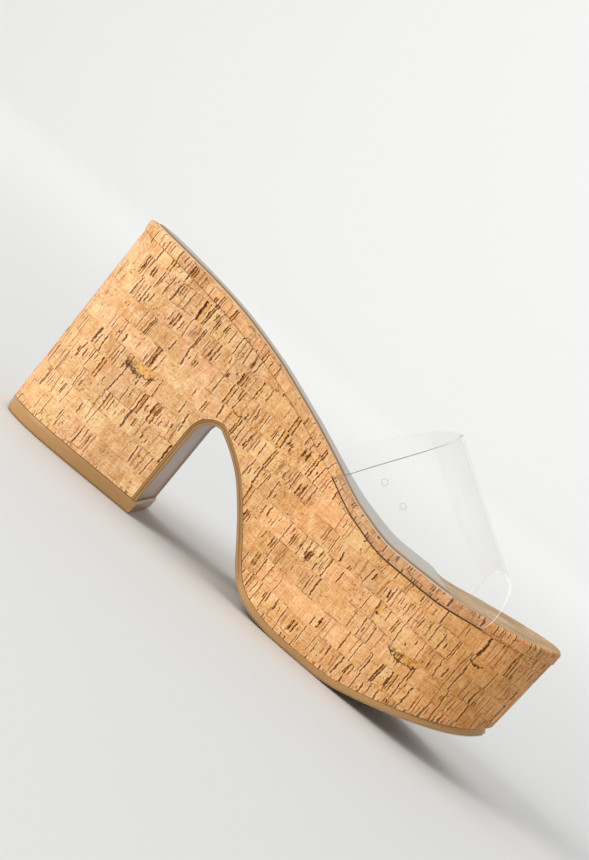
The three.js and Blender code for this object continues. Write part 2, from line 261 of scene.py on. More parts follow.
def loop_of(xs, grow=0.0):
    """The footprint over stations xs: out along the medial edge and back along the lateral,
    moved outwards by grow. Returns x, y and the unit outward direction."""
    x = np.concatenate([xs, xs[-2:0:-1]])
    y = np.concatenate([edge_y(xs, "medial"), edge_y(xs, "lateral")[-2:0:-1]])
    out = outward(x, y)
    return x + out[:, 0] * grow, y + out[:, 1] * grow, out


def arc_length(x, y):
    """Length along a closed loop at each point, and at the first point again."""
    steps = np.hypot(np.diff(np.append(x, x[0])), np.diff(np.append(y, y[0])))
    return np.concatenate([[0], np.cumsum(steps)])


class Skin:
    """Gathers points and faces, with a map of the veneer's own millimetres on each corner.
    Loops run out along the medial edge and back along the lateral."""

    def __init__(self):
        self.points, self.faces, self.corners = [], [], []

    def add(self, points):
        start = len(self.points)
        self.points.extend(np.asarray(points, float).reshape(-1, 3))
        return np.arange(start, len(self.points))

    def face(self, indices, uv=None):
        keep = [k for k in range(len(indices)) if indices[k] != indices[k - 1]]
        if len(keep) < 3:
            return
        self.faces.append([int(indices[k]) for k in keep])
        self.corners.extend([(0, 0)] * len(keep) if uv is None else [uv[k] for k in keep])

    def tube(self, rings, arc=(), uv=None, only=None):
        """Walls from each ring to the next, and only between stations that are there. With
        arc, the length round the loop at each station, uv(length, point) maps them."""
        count = len(rings[0])
        for a, b in zip(rings, rings[1:]):
            for i in range(count):
                j = (i + 1) % count
                if only is None or (only[i] and only[j]):
                    quad = [a[i], a[j], b[j], b[i]]
                    at = [arc[i + (n in (1, 2))] for n in range(4)] if uv else ()
                    self.face(quad, uv and [uv(u, self.points[k]) for u, k in zip(at, quad)])

    def cap(self, ring, start, end, upward):
        """Strips across a loop, between two of its stations."""
        count = len(ring)
        for i in range(start, end):
            quad = [ring[i], ring[i + 1], ring[(count - i - 1) % count], ring[(count - i) % count]]
            self.face(quad if upward else quad[::-1])

    def fill(self, ring, end, closed, steps, height, uv=None):
        """A grid across a loop, its inner points at height(x, y). At closed stations the
        loop's two sides meet."""
        count, before = len(ring), None
        for i in range(end + 1):
            near, far = ring[i], ring[(count - i) % count]
            row = [near] * (steps + 1)
            if i not in closed:
                a, b = self.points[near], self.points[far]
                spots = [a + (b - a) * t for t in np.linspace(0, 1, steps + 1)[1:-1]]
                row = [near, *self.add([(x, y, height(x, y)) for x, y, _ in spots]), far]
            for m in range(steps if before else 0):
                quad = [before[m], row[m], row[m + 1], before[m + 1]]
                self.face(quad, uv and [uv(self.points[k]) for k in quad])
            before = row

    def object(self, name):
        made = new_object(name, place(self.points), self.faces)
        layer = made.data.uv_layers.new(name="veneer")
        layer.data.foreach_set("uv", np.array(self.corners, float).ravel() / VENEER_MAP)
        made.data.set_sharp_from_angle(angle=math.radians(38))
        return made


def rounded_rows(rows, edge, top_edge=True, low_edge=True):
    """Rows up a wall, close together at its rounded edges: how each row's height is counted,
    the height or share of the height, and how far the row is set in."""
    turn = np.linspace(0, math.pi / 2, 5)
    low = [(edge * (1 - math.cos(a)), edge * (1 - math.sin(a))) for a in turn]
    middle = np.linspace(0, 1, rows)[1:-1]
    made = [("low", up, inset) for up, inset in (low if low_edge else [(0, 0)])]
    made += [("share", share, 0) for share in middle]
    return made + [("top", up, inset) for up, inset in (low[::-1] if top_edge else [(0, 0)])]


def row_height(kind, value, low, top, edge):
    if kind == "low":
        return low + value
    if kind == "top":
        return top - value
    return low + edge + (top - low - 2 * edge) * value


def spaced(values, digits, least):
    """Values in order, rounded, without those too close to the one before."""
    values = np.unique(np.concatenate(values).round(digits))
    return values[np.concatenate([[True], np.diff(values) > least])]


def ease(steps):
    """Numbers from 0 to 1, close together at 0."""
    return 1 - np.cos(np.linspace(0, math.pi / 2, steps))


def ease_both(steps):
    """Numbers from 0 to 1, close together at both ends."""
    return (1 - np.cos(np.linspace(0, math.pi, steps))) / 2


raised = raised_line(GAP)
breast_x = raised[0, 0]
arch_start = next(k for k in range(len(raised)) if raised[k, 0] > breast_x + 1e-6)
arch = raised[arch_start - 1:]
arch_foot = arch[0, 1]
at_corner = breast_x + (BREAST_CORNER + 2.4) * ease(9)
stations = spaced([LENGTH * ease_both(STATIONS), at_corner], 4, 0.04)
breast_at = int(np.argmin(np.abs(stations - breast_x)))
stations[breast_at] = breast_x

wall_x, wall_y, wall_out = loop_of(stations)
wall_s = arc_length(wall_x, wall_y)
columns = len(wall_x)
toe_at = len(stations) - 1
wall_top = seam_z(wall_x, wall_y) + SEAM_FILL
at_heel = wall_x <= breast_x + 1e-3
wall_low = np.where(at_heel, arch_foot, np.interp(
    wall_x - toe_lean(wall_x) * 0.6, arch[:, 0], arch[:, 1]))


def wall_row(kind, value, inset, low, top, edge, seam):
    """One row of points round the wall, leaning in below its seam."""
    z = row_height(kind, value, low, top, edge)
    share = 1 - z / seam
    x, y = wall_x - toe_lean(wall_x) * share, wall_y
    move = -inset - WALL_DRAFT * share
    return np.stack([x + wall_out[:, 0] * move, y + wall_out[:, 1] * move, z], 1)


def wall_uv(length, point):
    """The veneer's millimetres round the wall and up it."""
    return length, point[2]


body = Skin()
upper = [body.add(wall_row(*row, wall_low, wall_top, WALL_EDGE, wall_top))
         for row in rounded_rows(WALL_ROWS, WALL_EDGE, low_edge=False)]
heel_top = np.full(columns, arch_foot)
heel_low = np.full(columns, LIFT_HEIGHT + GAP)
lower = []
for row in rounded_rows(HEEL_ROWS, WALL_EDGE, top_edge=False)[:-1]:
    points = wall_row(*row, heel_low, heel_top, WALL_EDGE, wall_top)
    ring = np.full(columns, -1)
    ring[at_heel] = body.add(points[at_heel])
    lower.append(ring)
lower.append(upper[0])
body.tube(upper, wall_s, wall_uv)
body.tube(lower, wall_s, wall_uv, at_heel)
body.cap(upper[-1], 0, toe_at, True)
body.cap(lower[0], 0, breast_at, False)
body.cap(upper[0], breast_at, toe_at, False)
near, far = breast_at, columns - breast_at
for below, above in zip(lower, lower[1:]):
    body.face([below[near], below[far], above[far], above[near]])
platform = body.object("platform_cork")


def feed(tree, socket, value):
    if isinstance(value, bpy.types.NodeSocket):
        tree.links.new(value, socket)
    else:
        socket.default_value = value


def add_node(tree, kind, inputs=(), **settings):
    made = tree.nodes.new(kind)
    for name, value in settings.items():
        setattr(made, name, value)
    for name, value in dict(inputs).items():
        feed(tree, made.inputs[name], value)
    return made


def math_node(tree, operation, *values):
    made = tree.nodes.new("ShaderNodeMath")
    made.operation = operation
    for socket, value in zip(made.inputs, values):
        feed(tree, socket, value)
    return made.outputs[0]


def ramp_up(tree, value, low, high):
    """0 below low, 1 above high, smooth between; the other way round if low is above high."""
    made = tree.nodes.new("ShaderNodeMapRange")
    made.interpolation_type = "SMOOTHSTEP"
    for name, given in zip(("Value", "From Min", "From Max"), (value, low, high)):
        feed(tree, made.inputs[name], given)
    return made.outputs[0]


def combine(tree, x=0.0, y=0.0, z=0.0):
    return add_node(tree, "ShaderNodeCombineXYZ", {"X": x, "Y": y, "Z": z}).outputs[0]


def chance(tree, x, y, seed):
    """Three random numbers for a cell."""
    where = combine(tree, x, y, seed)
    made = add_node(tree, "ShaderNodeTexWhiteNoise", {"Vector": where}, noise_dimensions="3D")
    parts = add_node(tree, "ShaderNodeSeparateXYZ", {0: made.outputs["Color"]})
    return parts.outputs[0], parts.outputs[1], parts.outputs[2]


def cloud(tree, where, scale, detail=2.0, roughness=0.5):
    sizes = {"Vector": where, "Scale": scale, "Detail": detail, "Roughness": roughness}
    return add_node(tree, "ShaderNodeTexNoise", sizes).outputs[0]


def blend_color(tree, share, first, second, mode="MIX"):
    made = tree.nodes.new("ShaderNodeMix")
    made.data_type = "RGBA"
    made.blend_type = mode
    feed(tree, made.inputs["Factor"], share)
    for name, value in (("A", first), ("B", second)):
        socket = [s for s in made.inputs if s.name == name and s.type == "RGBA"][0]
        feed(tree, socket, value if isinstance(value, bpy.types.NodeSocket) else (*value, 1))
    return [s for s in made.outputs if s.type == "RGBA"][0]


def set_bump(tree, shader, height, strength, distance):
    sizes = {"Height": height, "Strength": strength, "Distance": distance}
    feed(tree, shader.inputs["Normal"], add_node(tree, "ShaderNodeBump", sizes).outputs[0])


BAND = 8.7                      # height of one strip of the veneer
PATCH = 17.0                    # mean length of a patch in it
CORK_TINTS = ((0.0, (0.63, 0.3, 0.105)), (0.3, (0.73, 0.39, 0.15)),
              (0.55, (0.78, 0.43, 0.195)), (0.78, (0.8, 0.475, 0.185)),
              (1.0, (0.9, 0.61, 0.31)))
CRACK_BROWN = (0.03, 0.005, 0.002)
HALO_BROWN = (0.42, 0.115, 0.015)
GOLD = (0.68, 0.31, 0.035)
# Painted shade: the veneer is multiplied darker from ahead of the arch and darker again from
# the toe on, where the wall turns away from the light; each stays on the rest of the way round.
# Arc lengths from the heel back between which it comes in, and the tint.
TOE_SHADE = ((75, 125, (0.97, 0.92, 0.83)), (195, 240, (0.92, 0.82, 0.68)))
# Bark pores too big for a strip's cracks: arc length from the heel back, height, half sizes.
PORES = ((56, 48.5, 8.5, 3.0), (213, 28.5, 7.5, 2.3), (97, 60, 3.0, 1.3), (236, 45, 3.2, 1.4))
# Cracks across the strips: mean spacing, least and most likely, shortest and longest as a
# share of the strip, wander and greatest half-width.
LONG_CRACKS = (4.8, 0.12, 0.9, 0.35, 1.7, 0.34, 0.085)
SHORT_CRACKS = (2.7, 0.015, 0.52, 0.1, 0.6, 0.25, 0.075)
HAIR_CRACKS = (1.9, 0.05, 0.45, 0.15, 1.3, 0.28, 0.02)


def cork_material(name, shine, tone):
    """Cork veneer: strips and patches of mottled bark, cracks across them, pores and specks.
    The veneer's map is in decimetres, read here as millimetres along it and up it."""
    material, shader, tree = plain_material(name, (0.75, 0.42, 0.2), 0.6,
                                            Specular_IOR_Level=shine)

    def maths(operation):
        return lambda *values: math_node(tree, operation, *values)

    def rise(value, low, high):
        return ramp_up(tree, value, low, high)

    def noise(x, y, z, scale, detail=2.0, roughness=0.5):
        return cloud(tree, combine(tree, x, y, z), scale, detail, roughness)

    def paint(color, share, amount, shade):
        return blend_color(tree, times(share, amount), color, shade)

    times, plus, minus = maths("MULTIPLY"), maths("ADD"), maths("SUBTRACT")
    fit, most, least = maths("MULTIPLY_ADD"), maths("MAXIMUM"), maths("MINIMUM")
    over, floor_of, part_of = maths("DIVIDE"), maths("FLOOR"), maths("FRACT")
    size_of, more_than, less_than = maths("ABSOLUTE"), maths("GREATER_THAN"), maths("LESS_THAN")

    at = add_node(tree, "ShaderNodeUVMap", uv_map="veneer").outputs[0]
    size = add_node(tree, "ShaderNodeVectorMath", {0: at, "Scale": VENEER_MAP}, operation="SCALE")
    axes = add_node(tree, "ShaderNodeSeparateXYZ", {0: size.outputs[0]})
    u, v = axes.outputs[0], axes.outputs[1]

    # Strips: slightly sloped, their edges a little wavy.
    sway = plus(fit(noise(u, v, 0.0, 0.04, 3.0), 4.0, -2.0),
                fit(noise(u, v, 61.0, 0.7, 3.0, 0.6), 1.1, -0.55))
    height = plus(plus(v, sway), times(u, 0.02))
    strip = over(height, BAND)
    band, up = floor_of(strip), part_of(strip)
    shift = chance(tree, band, 3.0, 1.0)

    # Patches along each strip, each with its own tint.
    bend = fit(noise(times(band, 9.0), v, 1.0, 0.3, 3.0), 3.0, -1.5)
    run = plus(over(plus(u, bend), PATCH), times(shift[0], 37.0))
    patch = floor_of(run)
    tint, bright, weight = chance(tree, patch, band, 2.0)
    soft = noise(times(u, 0.55), v, 7.0, 0.17, 4.0, 0.6)
    ramp = add_node(tree, "ShaderNodeValToRGB", {
        0: plus(times(tint, 0.7), fit(soft, 1.5, -0.6))})
    while len(ramp.color_ramp.elements) < len(CORK_TINTS):
        ramp.color_ramp.elements.new(0.5)
    for stop, (spot, shade) in zip(ramp.color_ramp.elements, CORK_TINTS):
        stop.position, stop.color = spot, (*(c * t for c, t in zip(shade, tone)), 1)
    color = ramp.outputs[0]

    cloudy = noise(u, v, 33.0, 0.2, 4.0, 0.65)
    color = paint(color, rise(cloudy, 0.5, 0.36), 0.5, (0.7, 0.3, 0.1))
    color = paint(color, rise(cloudy, 0.5, 0.66), 0.45, (0.94, 0.65, 0.33))
    color = paint(color, rise(bright, 0.68, 0.74), 0.4, (0.84, 0.45, 0.25))

    # Fine lengthwise fibres, faint stripes across them and a fine mottle.
    wave = times(noise(u, v, 5.0, 0.09), 5.0)
    fibre = noise(times(u, 0.17), plus(times(v, 1.5), wave), times(patch, 5.3), 0.95, 5.0, 0.65)
    across = noise(times(u, 1.2), times(v, 0.15), patch, 0.9, 4.0, 0.6)
    mottle = noise(u, v, 12.0, 1.3, 5.0, 0.75)
    color = paint(color, rise(fibre, 0.5, 0.32), fit(weight, 0.4, 0.3), (0.5, 0.2, 0.06))
    color = paint(color, rise(fibre, 0.5, 0.68), 0.45, (0.95, 0.68, 0.4))
    color = paint(color, rise(mottle, 0.48, 0.36), 0.62, (0.52, 0.2, 0.055))
    color = paint(color, rise(mottle, 0.5, 0.64), 0.4, (0.97, 0.7, 0.42))
    color = paint(color, rise(across, 0.46, 0.34), 0.35, (0.56, 0.23, 0.08))
    color = paint(color, rise(across, 0.53, 0.66), 0.4, (0.98, 0.74, 0.45))

    # Everything that follows is shaken a little sideways, so no crack runs straight.
    shake = fit(noise(times(u, 0.6), v, 21.0, 0.5, 5.0, 0.75), 1.7, -0.85)
    spread = times(noise(u, times(band, 7.0), 55.0, 0.08, 2.0), 9.0)
    shaken = plus(plus(u, shake), spread)
    crowd = noise(u, times(band, 23.0), 2.0, 0.06, 2.0)
    at_toe = times(rise(u, 175.0, 220.0), rise(u, 360.0, 320.0))
    dense = most(rise(crowd, 0.4, 0.58), times(at_toe, 0.65))

    def cracks(sizes, seed):
        """Dark cores, their brown halo, the golden bark between pairs and the pale lips."""
        spacing, rare, often, short, long, wander, width = sizes
        pace = plus(over(shaken, spacing), times(shift[1], 41.0 + seed))
        cell, inside = floor_of(pace), part_of(pace)
        here, spot, length = chance(tree, cell, band, seed)
        lean, wide, start = chance(tree, cell, band, seed + 6.0)
        on = less_than(here, fit(dense, often - rare, rare))
        wobble = fit(noise(times(cell, 9.3), v, seed, 0.33, 5.0, 0.65), 2 * wander, -wander)
        tilt = times(minus(lean, 0.4), fit(up, 1.5, -0.75))
        middle = fit(spot, 0.4, 0.25)
        right = plus(times(minus(inside, middle), spacing), plus(wobble, tilt))
        tall = fit(length, long - short, short)
        low = times(minus(1.05, tall), start)
        low = least(most(low, minus(0.5, tall)), start)
        reach = times(rise(minus(up, low), -0.03, 0.05),
                     rise(minus(up, plus(low, tall)), 0.03, -0.05))
        on = times(on, reach)
        ragged = noise(times(cell, 5.1), v, seed + 3.0, 0.75, 3.0, 0.6)
        half = times(fit(times(wide, wide), width, 0.035), fit(ragged, 8.0, -2.9))
        away = minus(size_of(right), half)
        gap = fit(lean, 1.4, 0.8)
        paired = more_than(wide, 0.74)
        beyond = minus(size_of(minus(right, gap)), times(half, 0.7))
        beyond = plus(beyond, times(minus(1.0, paired), 9.0))
        nearest = least(away, beyond)
        core = times(rise(nearest, 0.15, 0.03), on)
        core = times(core, fit(start, -0.2, 1.0))
        glow = times(rise(nearest, 1.1, 0.5), on)
        halo = times(rise(nearest, 0.4, 0.1), on)
        between = times(rise(right, -0.1, 0.2), rise(minus(right, gap), 0.1, -0.2))
        gilt = times(times(between, paired), on)
        return core, halo, gilt, glow

    first, second = cracks(LONG_CRACKS, 11.0), cracks(SHORT_CRACKS, 29.0)
    core, halo, gilt, glow = (most(a, b) for a, b in zip(first, second))
    hair = cracks(HAIR_CRACKS, 47.0)
    core = most(core, times(hair[0], 0.5))
    halo = most(halo, times(hair[1], 0.5))
    color = paint(color, glow, 0.36, (0.99, 0.72, 0.42))
    fleck = rise(noise(u, v, 8.0, 0.8, 3.0), 0.36, 0.56)
    color = paint(color, times(gilt, fleck), 0.75, GOLD)

    # Specks, longer across the strips than along them, where the cracks are dense.
    speck = noise(times(u, 2.3), times(v, 0.8), 9.0, 0.8, 2.0, 0.45)
    speck = times(rise(speck, 0.66, 0.73), fit(dense, 0.85, 0.05))
    crumbly = rise(noise(u, v, 42.0, 0.075, 3.0), 0.52, 0.6)
    crumb = rise(noise(times(u, 1.5), v, 41.0, 0.75, 5.0, 0.75), 0.57, 0.64)
    speck = most(speck, times(crumb, crumbly))

    # Broken dark lines where strips meet.
    edge_mm = times(least(up, minus(1.0, up)), BAND)
    broken = rise(noise(u, times(v, 0.3), 3.0, 0.16, 4.0, 0.65), 0.5, 0.62)
    seam = times(rise(edge_mm, 0.3, 0.06), fit(broken, 0.55, 0.04))

    # Large pores: dark ragged rims round golden bark.
    rim, pit = 0.0, 0.0
    fray = fit(noise(u, v, 6.0, 0.2, 5.0, 0.7), 3.2, -1.6)
    for pore_u, pore_v, half_u, half_v in PORES:
        du = over(minus(u, float(pore_u)), float(half_u))
        dv = over(minus(v, float(pore_v)), float(half_v))
        away = maths("SQRT")(plus(times(du, du), times(dv, dv)))
        away = plus(away, fray)
        pit = most(pit, rise(away, 0.9, 0.6))
        ring = size_of(minus(away, 0.85))
        rim = most(rim, times(rise(ring, 0.2, 0.03), rise(dv, 0.7, -0.6)))
    bark = blend_color(tree, fleck, (0.4, 0.16, 0.03), (0.82, 0.46, 0.12))
    color = paint(color, pit, 0.8, bark)

    color = paint(color, most(halo, times(speck, 0.9)), 0.75, HALO_BROWN)
    dark = most(most(core, times(speck, 0.6)), most(seam, times(rim, 0.97)))
    color = paint(color, dark, 0.96, CRACK_BROWN)
    lift = fit(bright, 0.16, 0.93)
    color = blend_color(tree, 1.0, color, combine(tree, lift, lift, lift), "MULTIPLY")
    # Painted shade, deeper towards the toe.
    for start, end, shade in TOE_SHADE:
        share = rise(u, float(start), float(end))
        color = blend_color(tree, share, color, shade, "MULTIPLY")
    tree.links.new(color, shader.inputs["Base Color"])

    relief = minus(plus(times(fibre, 0.35), times(mottle, 0.3)), plus(dark, times(pit, 0.3)))
    set_bump(tree, shader, relief, 0.6, 0.0003)
    rough = plus(fit(dark, 0.3, 0.48), times(fibre, 0.14))
    tree.links.new(rough, shader.inputs["Roughness"])
    return material


cork = cork_material("cork_veneer", 0.16, (1.02, 1.02, 1.02))
platform.data.materials.append(cork)
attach(platform, "root")
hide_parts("platform")

# ---------------------------------------------------------------- outsole
# A moulded rubber sheet lines the breast and the arch and wraps under the forefoot. Its edge
# carries a low lip, and its ground face has fine saw-tooth ribs across the shoe.

SOLE_INSET = 0.4
SOLE_LEVEL = 26                 # the sheet's edge is in line with the wall at this height
SOLE_EDGE = 0.5
# Across the breast and arch from each edge: a lip, a groove, a thin second lip, a shallow dip.
SOLE_FORM = ((0.5, 0.0), (1.35, 0.0), (1.55, 0.4), (1.8, 0.4), (2.0, 0.05), (2.6, 0.05),
             (3.3, 0.35), (5.5, 0.7))
SOLE_DIP = 0.8
SOLE_GROOVE = 0.35              # a fine groove along the sheet's own edge
SOLE_FILL = 0.18                # glue takes up part of the joint with the cork
RIB_PITCH = 1.0
RIB_HEIGHT = 0.42
RIB_SHORT = 0.06                # each rib ends this far inside the sheet's side
RIBS_FROM = 118                 # x where the arch turns into the tread
RIBS_GROW = 6                   # length over which the ribs reach their height
TIP_WIDTH = 16                  # the edge's form shrinks where the sheet is narrower

dense = LENGTH * ease_both(1201)


def inset_edges(inset, lean=0.0):
    """The footprint moved inwards: its medial and lateral edge as functions of x, and its
    foremost x."""
    x, y, _ = loop_of(dense, -inset)
    x = x - toe_lean(x) * lean
    half = len(dense)
    near_x, near_y = x[:half], y[:half]
    far_x, far_y = np.append(x[half - 1:], x[0]), np.append(y[half - 1:], y[0])
    near, far = np.argsort(near_x), np.argsort(far_x)
    return (lambda at: np.interp(at, near_x[near], near_y[near]),
            lambda at: np.interp(at, far_x[far], far_y[far]), x.max())


ground = ground_line()
inward = inward_of(ground)
thickness = read(SOLE, "thick", ground[:, 0]) + SOLE_FILL
tread = np.clip((ground[:, 0] - RIBS_FROM) / RIBS_GROW, 0, 1)
sole_share = 1 - SOLE_LEVEL / DRAFT_HEIGHT
sole_near, sole_far, sole_end = inset_edges(SOLE_INSET + WALL_DRAFT * sole_share, sole_share)


def sole_section(k):
    """One ring across the sheet at ground-line point k, from the medial ground edge round."""
    x, z = ground[k]
    reach = min(x, sole_end - 0.02)
    low, high = float(sole_near(reach)), float(sole_far(reach))
    width = max(high - low, 0.2)
    edge = min(SOLE_EDGE, width / 3)
    depth, plain = RIB_HEIGHT * tread[k], 1 - tread[k]
    thick = thickness[k]
    shrink = min(1, width / TIP_WIDTH)
    cut = SOLE_GROOVE * plain * shrink
    across = [(0, thick), (0, thick * 0.66), (cut, thick * 0.6), (cut, thick * 0.5),
              (0, thick * 0.44), (0, edge + depth), (edge * 0.3, edge * 0.3 + depth)]
    across += [(a * shrink, depth + b * plain) for a, b in SOLE_FORM]
    start = across[-1][0]
    rise = [(start + (width - 2 * start) * t, depth + SOLE_DIP * plain)
            for t in (0.15, 0.35, 0.5, 0.65, 0.85)]
    across += rise + [(width - a, b) for a, b in reversed(across)]
    return [(x + inward[k, 0] * b, low + a, z + inward[k, 1] * b) for a, b in across]


sheet = Skin()
keep = [k for k in range(len(ground)) if ground[k, 0] <= sole_end]
rings = [sheet.add(sole_section(k)) for k in keep]
sheet.tube(rings)
sheet.face(list(rings[0][::-1]))
sheet.face(list(rings[-1]))
outsole = sheet.object("outsole_sheet")


def tints(color, change):
    """A colour made a little darker and a little lighter."""
    return tuple(c * (1 - change) for c in color), tuple(min(c * (1 + change), 1) for c in color)


def rubber_material(name, color):
    material, shader, tree = plain_material(name, color, 0.46)
    where = add_node(tree, "ShaderNodeTexCoord").outputs["Object"]
    broad = cloud(tree, where, 22.0, 2.0)
    fine = cloud(tree, where, 1400.0, 3.0, 0.6)
    shade = blend_color(tree, ramp_up(tree, broad, 0.35, 0.68), *tints(color, 0.1))
    speck = math_node(tree, "MULTIPLY", ramp_up(tree, fine, 0.62, 0.8), 0.25)
    shade = blend_color(tree, speck, shade, tuple(c * 0.6 for c in color))
    tree.links.new(shade, shader.inputs["Base Color"])
    set_bump(tree, shader, fine, 0.25, 0.0001)
    tree.links.new(math_node(tree, "MULTIPLY_ADD", broad, 0.2, 0.24), shader.inputs["Roughness"])
    return material


rubber = rubber_material("tan_rubber", (0.42, 0.225, 0.08))
outsole.data.materials.append(rubber)
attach(outsole, "root")
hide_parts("outsole")


def rib_prism(name):
    """One rib, 1 long by 1 wide by 1 deep, its point at 0 and its base a little above 1."""
    ends = [(-0.5, 1.25), (0.5, 1.25), (0.28, 0.0), (0.08, 0.0)]
    points = [(x, y, z) for y in (-0.5, 0.5) for x, z in ends]
    faces = [(0, 1, 2, 3), (7, 6, 5, 4), (0, 4, 5, 1), (1, 5, 6, 2), (2, 6, 7, 3), (3, 7, 4, 0)]
    mesh = bpy.data.meshes.new(name)
    mesh.from_pydata(points, [], faces)
    return show(name, mesh)


def rib_tree(material):
    """Nodes that set a rib on every point of a line, turned and sized by the points' own
    attributes."""
    tree = bpy.data.node_groups.new("tread_ribs", "GeometryNodeTree")
    for name, kind in (("Line", "Geometry"), ("Rib", "Object"), ("Pitch", "Float"),
                       ("Height", "Float")):
        tree.interface.new_socket(name, in_out="INPUT", socket_type="NodeSocket" + kind)
    tree.interface.new_socket("Ribs", in_out="OUTPUT", socket_type="NodeSocketGeometry")
    entry = add_node(tree, "NodeGroupInput")
    shape = add_node(tree, "GeometryNodeObjectInfo", {"Object": entry.outputs["Rib"]})
    width, climb = (add_node(tree, "GeometryNodeInputNamedAttribute", {"Name": name},
                             data_type="FLOAT").outputs[0] for name in ("width", "climb"))
    size = combine(tree, entry.outputs["Pitch"], width, entry.outputs["Height"])
    turn = combine(tree, 0.0, climb)
    spots = add_node(tree, "GeometryNodeMeshToPoints", {"Mesh": entry.outputs["Line"]})
    put = add_node(tree, "GeometryNodeInstanceOnPoints", {
        "Points": spots.outputs[0], "Instance": shape.outputs["Geometry"],
        "Rotation": turn, "Scale": size})
    real = add_node(tree, "GeometryNodeRealizeInstances", {"Geometry": put.outputs[0]})
    paint = add_node(tree, "GeometryNodeSetMaterial", {
        "Geometry": real.outputs[0], "Material": material})
    tree.links.new(paint.outputs[0], add_node(tree, "NodeGroupOutput").inputs[0])
    return tree


ribs_group = rib_tree(rubber)
rib_shape = rib_prism("rib_shape")


def plain_mesh(made):
    """The object's mesh with its modifiers applied."""
    bpy.context.view_layer.update()
    view = bpy.context.evaluated_depsgraph_get()
    return bpy.data.meshes.new_from_object(made.evaluated_get(view))


def ribs_along(name, line, near_edge, far_edge):
    """Ribs across the shoe at even steps of an (x, z) line, between two edges given by x."""
    steps = np.concatenate([[0], np.cumsum(np.hypot(*np.diff(line, axis=0).T))])
    marks = np.arange(RIB_PITCH / 2, steps[-1], RIB_PITCH)
    xs, zs = np.interp(marks, steps, line[:, 0]), np.interp(marks, steps, line[:, 1])
    climb = -np.arctan2(np.gradient(zs), np.gradient(xs))
    low, high = near_edge(xs), far_edge(xs)
    mesh = bpy.data.meshes.new(name)
    mesh.from_pydata([tuple(p) for p in place(np.stack([xs, (low + high) / 2, zs], 1))], [], [])
    for attribute, values in (("width", (high - low) / 1000), ("climb", climb)):
        layer = mesh.attributes.new(attribute, "FLOAT", "POINT")
        layer.data.foreach_set("value", np.asarray(values, np.float32))
    line_object = show(name + "_line", mesh)
    nodes = line_object.modifiers.new("ribs", "NODES")
    nodes.node_group = ribs_group
    sockets = {item.name: item.identifier for item in ribs_group.interface.items_tree}
    nodes[sockets["Rib"]] = rib_shape
    nodes[sockets["Pitch"]] = RIB_PITCH / 1000
    nodes[sockets["Height"]] = RIB_HEIGHT / 1000
    made = show(name, plain_mesh(line_object))
    bpy.data.objects.remove(line_object)
    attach(made, "root")


tread_line = ground[(ground[:, 0] >= RIBS_FROM) & (ground[:, 0] <= sole_end - 0.6)]
rib_inset = SOLE_INSET + WALL_DRAFT * sole_share + RIB_SHORT
rib_near, rib_far, _ = inset_edges(rib_inset, sole_share)
ribs_along("outsole_ribs", tread_line, rib_near, rib_far)

# ---------------------------------------------------------------- heel lift
# The rubber top piece under the heel: smooth sides with a soft lower edge, flush with the
# cork, and the same fine ribs underneath.

LIFT_INSET = 0.3
LIFT_FRONT = BREAST_X + 0.4
LIFT_STEPS = 90
LIFT_EDGE = 0.6
LIFT_KICK = 1.6                 # the ground face rises at the very back
LIFT_FILL = 0.15                # glue takes up part of the joint above
LIFT_RIB_SHORT = 0.08
LIFT_BLOCK = 20                 # the wall's lean is used up at this height

lift_near, lift_far, _ = inset_edges(LIFT_INSET + WALL_DRAFT)


def joined(near_x, near_y, far_x, far_y):
    """One loop from the medial and the lateral edge, which meet at the heel's back."""
    near_y[0] = far_y[0] = (near_y[1] + far_y[1]) / 2
    return np.concatenate([near_x, far_x[:0:-1]]), np.concatenate([near_y, far_y[:0:-1]])


def lift_ring(inset, z):
    """The lift's outline moved inwards, at a height: from the heel's back forward along the
    medial side, then back along the lateral."""
    start = LIFT_INSET + WALL_DRAFT
    xs = start + (LIFT_FRONT - start) * ease(LIFT_STEPS)
    x, y = joined(xs, lift_near(xs), xs, lift_far(xs))
    out = outward(x, y)
    inset = inset - WALL_DRAFT * z / LIFT_BLOCK
    height = z + LIFT_KICK * np.clip(1 - x / 6, 0, 1) ** 2 * np.clip(1 - z / 3, 0, 1)
    return np.stack([x - out[:, 0] * inset, y - out[:, 1] * inset, height], 1)


lift = Skin()
turn = np.linspace(0, math.pi / 2, 6)
profile = [(LIFT_EDGE * (1 - math.sin(a)), RIB_HEIGHT + LIFT_EDGE * (1 - math.cos(a)))
           for a in turn]
profile += [(0.0, 2.4), (0.02, 3.6), (0.0, LIFT_HEIGHT - 0.15), (0.1, LIFT_HEIGHT),
            (0.35, LIFT_HEIGHT + LIFT_FILL)]
rings = [lift.add(lift_ring(inset, z)) for inset, z in profile]
lift.tube(rings)
lift.cap(rings[-1], 0, LIFT_STEPS - 1, True)
lift.cap(rings[0], 0, LIFT_STEPS - 1, False)
heel_lift = lift.object("heel_lift_rubber")
heel_lift.data.materials.append(rubber)
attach(heel_lift, "root")
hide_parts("heel_lift")
lift_line = np.array([(x, 0.0) for x in np.linspace(4.2, LIFT_FRONT - 0.6, 60)])
rib_near, rib_far, _ = inset_edges(LIFT_INSET + WALL_DRAFT + LIFT_RIB_SHORT)
ribs_along("heel_lift_ribs", lift_line, rib_near, rib_far)
bpy.data.objects.remove(rib_shape)

# ---------------------------------------------------------------- insole board
# The board under the foot, wrapped in cork with a soft edge that stands a little proud of the
# wall. Its toe end is bare cork, and it is cut back underneath where the strap goes in.

